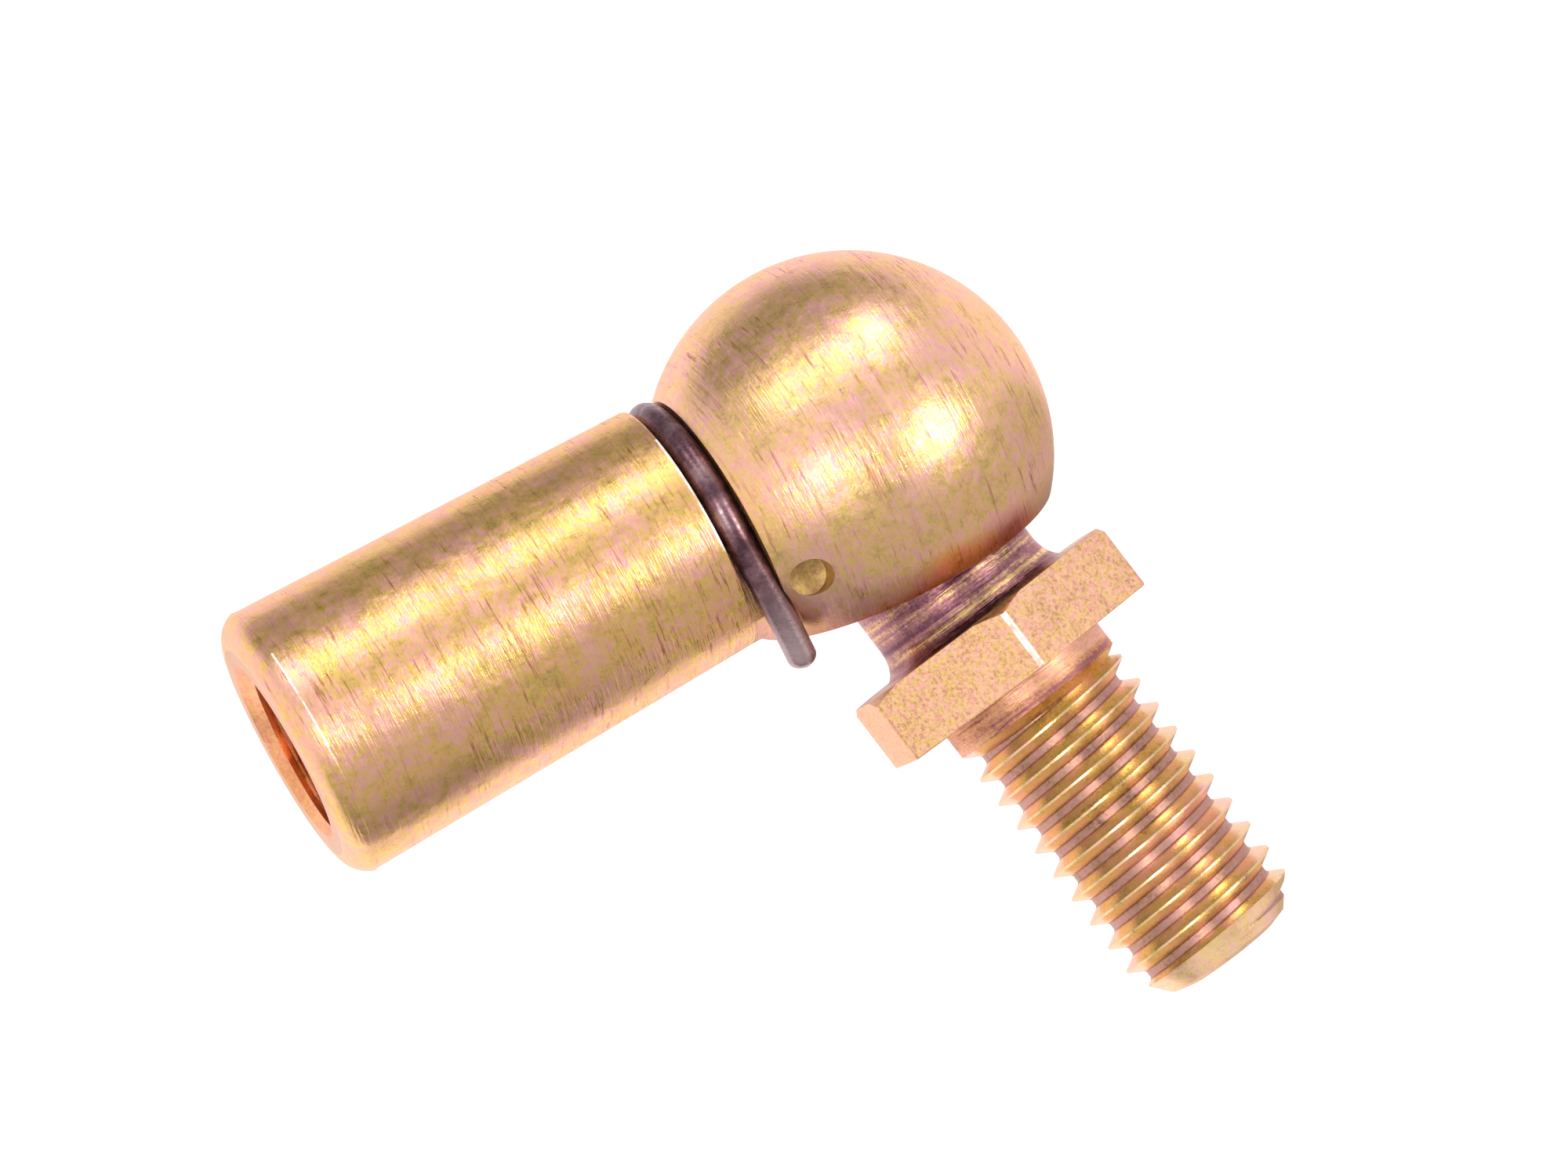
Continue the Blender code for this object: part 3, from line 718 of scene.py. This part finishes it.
def finish_socket(socket):
    """Turned head and shank with painted shade towards the mouth, worn edge lines that are also painted
    highlights, and own finishes for the holes (painted shade), bore (painted reflection) and end face.
    """
    # painted shade: dark tones inside the cross holes
    hole_painted_shade_tones = ((0.36, (0.24, 0.13, 0.09)), (0.46, (0.42, 0.28, 0.13)), (0.58, (0.66, 0.48, 0.22)))
    # painted reflection: saturated orange for light bouncing inside the countersink and bore
    bore_painted_reflection_tones = ((0.36, (0.62, 0.26, 0.14)), (0.48, (0.84, 0.40, 0.20)), (0.58, (0.96, 0.55, 0.30)))
    end_tones = ((0.38, (0.48, 0.27, 0.21)), (0.46, (0.66, 0.44, 0.22)), (0.56, (0.74, 0.48, 0.36)))
    give(socket, yellow_zinc("socket_shank", X_AXIS), worn_edge_with_painted_highlight("socket_edges_painted_highlight"),
         yellow_zinc("socket_holes_painted_shade", Z_AXIS, tones=hole_painted_shade_tones, marks=0.0, roughness=(0.5, 0.6)),
         yellow_zinc("socket_bore_painted_reflection", X_AXIS, tones=bore_painted_reflection_tones, marks=0.2),
         # painted shade towards the mouth on the head's finish
         yellow_zinc("socket_head", X_AXIS, tones=HEAD_TONES, painted_shade_below=MOUTH_SHADE),
         yellow_zinc("socket_end", X_AXIS, tones=end_tones, marks=0.2))
    edge_line = SHANK_EDGE_ROUND * (1 + math.sin(SHANK_EDGE_BREAK))
    for face in socket.data.polygons:
        x, y, z = face.center
        radius = math.hypot(y, z)
        heading = math.degrees(math.atan2(z, -y))
        on_end_edge = edge_line < x < edge_line + EDGE_LINE and END_EDGE_WEAR_AND_HIGHLIGHT[0] < heading < END_EDGE_WEAR_AND_HIGHLIGHT[1]
        from_ball = (face.center - BALL_CENTRE).length
        on_shoulder = (SHOULDER_X - EDGE_BREAK < x < SHOULDER_X - 0.001 * MM
                       and radius > SHANK_NECK_RADIUS - EDGE_BREAK
                       and SHOULDER_WEAR_AND_HIGHLIGHT[0] < heading < SHOULDER_WEAR_AND_HIGHLIGHT[1] and abs(face.normal.x) > 0.2)
        in_hole = (math.hypot(x - HOLE_X, z - HOLE_Z) < HOLE_RADIUS + 0.01 * MM
                   and HOLE_FLOOR_Y - 1 * MM < abs(y))
        # pale wear on the end edge and shoulder, also a painted highlight line
        if on_end_edge or on_shoulder:
            face.material_index = 1
        # painted shade inside the cross holes
        elif in_hole and (from_ball < HEAD_RADIUS - 0.03 * MM or abs(face.normal.y) < 0.2):
            face.material_index = 2
        # painted reflection in the countersink and bore
        elif radius < BORE_MOUTH_RADIUS + 0.15 * MM and x < BORE_DRILL_END + 2 * MM and x > 0.001 * MM:
            face.material_index = 3
        elif x < 0.001 * MM:
            face.material_index = 5
        elif x > SHOULDER_X + EDGE_BREAK:
            face.material_index = 4


def finish_stud(stud):
    """Ball, neck (painted shade), grained hexagon, worn edge (painted highlight), relief, thread, root
    (painted shade) and tip (painted reflection) finishes by place.
    """
    place = stud_placement()
    # painted shade: dark purple tones standing for the shade and dark reflections under the head; the streaks
    # are turning marks
    neck_painted_shade_tones = ((0.42, (0.17, 0.07, 0.12)), (0.52, (0.44, 0.23, 0.24)), (0.60, (0.95, 0.74, 0.34)))
    hex_tones = ((0.38, (0.60, 0.33, 0.24)), (0.47, (0.84, 0.55, 0.28)), (0.56, (0.93, 0.62, 0.47)))
    relief_tones = ((0.42, (0.40, 0.17, 0.17)), (0.50, (0.76, 0.42, 0.25)), (0.58, (0.92, 0.58, 0.46)))
    thread_tones = ((0.38, (0.46, 0.28, 0.27)), (0.46, (0.80, 0.66, 0.28)), (0.56, (0.92, 0.62, 0.52)))
    # painted reflection: tip chamfer tones brightened to stand for the light it reflects
    tip_painted_reflection_tones = ((0.38, (0.78, 0.52, 0.40)), (0.47, (0.95, 0.70, 0.36)), (0.56, (1.0, 0.70, 0.60)))
    # painted shade: dark tones in the thread roots
    root_painted_shade_tones = ((0.38, (0.22, 0.10, 0.13)), (0.46, (0.44, 0.26, 0.19)), (0.56, (0.56, 0.32, 0.30)))
    give(stud, yellow_zinc("stud_ball", Z_AXIS, place, marks=0.4),
         yellow_zinc("stud_neck_painted_shade", Z_AXIS, place, neck_painted_shade_tones, marks=1.3, pattern=STREAKED),
         yellow_zinc("stud_hexagon", Z_AXIS, place, hex_tones, marks=0.0, grain=1.3, roughness=(0.36, 0.52),
                     pattern=GRAINED),
         worn_edge_with_painted_highlight("stud_edges_painted_highlight", place),
         yellow_zinc("stud_relief", Z_AXIS, place, relief_tones, roughness=(0.34, 0.5), pattern=STREAKED),
         yellow_zinc("stud_thread", Z_AXIS, place, thread_tones, marks=0.15, grain=0.7,
                     roughness=(0.2, 0.34)),
         yellow_zinc("stud_roots_painted_shade", Z_AXIS, place, root_painted_shade_tones, marks=0.15, grain=0.7,
                     roughness=(0.3, 0.45)),
         yellow_zinc("stud_tip_painted_reflection", Z_AXIS, place, tip_painted_reflection_tones, marks=0.3))
    flat = HEX_ACROSS_FLATS / 2
    # the corner at this heading gets pale wear on its rounding, which also serves as a painted highlight
    corner_with_wear_and_highlight = Vector((math.cos(HEX_CORNER_HEADING), math.sin(HEX_CORNER_HEADING), 0.0))
    for face in stud.data.polygons:
        depth = -face.center.z
        reach = math.hypot(face.center.x, face.center.y)
        upright = abs(face.normal.z) < 0.1
        if HEX_TOP - 0.05 * MM < depth < HEX_BOTTOM + 0.05 * MM and reach > COLLAR_RADIUS + 0.02 * MM:
            facing = face.center.dot(corner_with_wear_and_highlight) > flat * 1.1
            rounded = upright and facing and reach > flat * 1.13
            face.material_index = 3 if rounded else 2
        # painted reflection on the tip chamfer
        elif depth > STUD_TIP - TIP_CHAMFER and face.normal.z < -0.3:
            face.material_index = 7
        elif depth > RELIEF_END - 0.02 * MM:
            # painted shade in the thread roots, below a reach just over the minor radius
            face.material_index = 6 if reach < STUD_MINOR + 0.17 * MM else 5
        elif depth > HEX_BOTTOM - 0.01 * MM:
            face.material_index = 4
        # painted shade on the neck and collar
        elif depth > BALL_RADIUS * 0.8:
            face.material_index = 1
    stud.matrix_world = place
    settle(stud)


# ---- stage ----

def add_camera():
    """Camera at the viewing angle of the picture."""
    data = bpy.data.cameras.new("camera")
    data.lens = CAMERA_LENS
    data.clip_start = 0.01
    data.clip_end = 20.0
    camera = bpy.data.objects.new("camera", data)
    bpy.context.scene.collection.objects.link(camera)
    up = -CAMERA_DOWN
    back = CAMERA_RIGHT.cross(up)
    turn_to = Matrix((CAMERA_RIGHT, up, back)).transposed().to_4x4()
    camera.matrix_world = Matrix.Translation(BALL_CENTRE + CAMERA_FROM_BALL) @ turn_to
    bpy.context.scene.camera = camera


def direction(azimuth, elevation):
    """Unit vector; azimuth is from +X towards +Y, in degrees."""
    a, e = math.radians(azimuth), math.radians(elevation)
    return Vector((math.cos(a) * math.cos(e), math.sin(a) * math.cos(e), math.sin(e)))


def add_light(name, azimuth, elevation, width, height, radiance, colour=(1.0, 1.0, 1.0), distance=0.6):
    """Soft box of a given brightness, aimed at the head."""
    data = bpy.data.lights.new(name, "AREA")
    data.shape = "RECTANGLE"
    data.size, data.size_y = width, height
    data.energy = radiance * math.pi * width * height
    data.color = colour
    light = bpy.data.objects.new(name, data)
    bpy.context.scene.collection.objects.link(light)
    way = direction(azimuth, elevation)
    light.location = BALL_CENTRE + way * distance
    light.rotation_euler = way.to_track_quat("Z", "Y").to_euler()
    return light


def add_floor():
    """Plain pale floor that glows a little, so that it stays near white."""
    bm = bmesh.new()
    bmesh.ops.create_grid(bm, x_segments=8, y_segments=8, size=FLOOR_HALF)
    floor = add_object("floor", bm)
    floor.location = (0.0, 0.0, FLOOR_Z)
    n = Nodes("pale_floor")
    n.shader.inputs["Base Color"].default_value = (0.9, 0.89, 0.885, 1.0)
    n.shader.inputs["Roughness"].default_value = 0.9
    n.shader.inputs["Emission Color"].default_value = (1.0, 0.98, 0.975, 1.0)
    n.shader.inputs["Emission Strength"].default_value = 0.3
    give(floor, n.material)
    floor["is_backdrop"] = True


def add_flag(name, low, high, brightness):
    """Glowing card that only reflections see."""
    card = box(name, low, high)
    n = Nodes(name)
    n.shader.inputs["Base Color"].default_value = (0.0, 0.0, 0.0, 1.0)
    n.shader.inputs["Specular IOR Level"].default_value = 0.0
    n.shader.inputs["Emission Color"].default_value = (1.0, 0.95, 0.9, 1.0)
    n.shader.inputs["Emission Strength"].default_value = brightness
    give(card, n.material)
    card.visible_camera = False
    card.visible_diffuse = False
    card.visible_shadow = False
    card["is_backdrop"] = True


def add_world():
    """Pale surroundings, brighter behind the object than on the camera's side."""
    world = bpy.data.worlds.new("studio")
    world.use_nodes = True
    tree = world.node_tree
    way = tree.nodes.new("ShaderNodeTexCoord")
    split = tree.nodes.new("ShaderNodeSeparateXYZ")
    spread = tree.nodes.new("ShaderNodeMapRange")
    tree.links.new(way.outputs["Generated"], split.inputs["Vector"])
    tree.links.new(split.outputs["Y"], spread.inputs["Value"])
    for name, number in (("From Min", -0.4), ("From Max", 0.7), ("To Min", 0.72), ("To Max", 1.2)):
        spread.inputs[name].default_value = number
    background = tree.nodes["Background"]
    background.inputs["Color"].default_value = (1.0, 0.94, 0.97, 1.0)
    tree.links.new(spread.outputs["Result"], background.inputs["Strength"])
    bpy.context.scene.world = world


def light_stage():
    """Four soft boxes round the camera side, cards below, above and at the left, and a pale floor."""
    warm = (1.0, 0.97, 0.88)
    add_light("top_strip", -24, 58, 0.38, 0.14, 4.8, warm)
    add_light("top_left", -127, 62, 0.20, 0.16, 5.0, (1.0, 0.99, 0.80))
    add_light("front_right", -54, 1, 0.19, 0.15, 9.5, warm)
    add_light("front_left", -116, 10, 0.18, 0.15, 7.0, warm)
    low = FLOOR_Z + 5 * MM
    add_flag("low_front_card", (-0.8, -0.9, low), (0.8, -0.045, low + 1 * MM), 0.55)
    add_flag("low_middle_card", (-0.8, -0.045, low), (0.05, 0.02, low + 1 * MM), 0.28)
    add_flag("low_right_card", (0.05, -0.045, low), (0.9, 0.25, low + 1 * MM), 0.6)
    add_flag("high_card", (-0.5, -0.05, 0.5), (0.8, 0.6, 0.51), 0.32)
    add_flag("tip_card", (0.024, -0.017, -0.0365), (0.046, -0.002, -0.036), 0.95)
    add_flag("left_card", (-0.36, -0.5, -0.12), (-0.35, 0.3, 0.2), 1.05)
    add_floor()
    add_world()
    bpy.context.scene.view_settings.view_transform = "Standard"
    bpy.context.scene.view_settings.look = "None"


def place(obj, body, node, slot):
    """Ride on a body and stand for a CAD node, which is hidden; the finish slot is not used."""
    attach(obj, body)
    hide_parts(node)


def corners(bounds):
    """A box as plain lists of numbers."""
    return [list(corner) for corner in bounds]


socket = build_socket()
stud = build_stud()
ring = build_ring()
clip = build_clip()
for piece in (socket, stud, ring, clip):
    shade(piece)
finish_socket(socket)
finish_stud(stud)
give(ring, spring_wire("ring_steel", ((0.38, (0.25, 0.23, 0.22)), (0.62, (0.42, 0.40, 0.38)))))
# painted light on the clip's tail
give(clip, spring_wire("clip_steel", CLIP_TONES, tail_painted_light=(0.50, 0.38, 0.40)))
place(socket, "socket", "ball_socket", "socket_zinc")
place(stud, "stud", "ball_stud", "stud_zinc")
place(ring, "ring", "snap_ring", "ring_steel")
place(clip, "socket", "safety_clip", "clip_steel")
add_camera()
light_stage()

{"cad": corners(CAD_BOX), "visual": corners(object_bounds())}
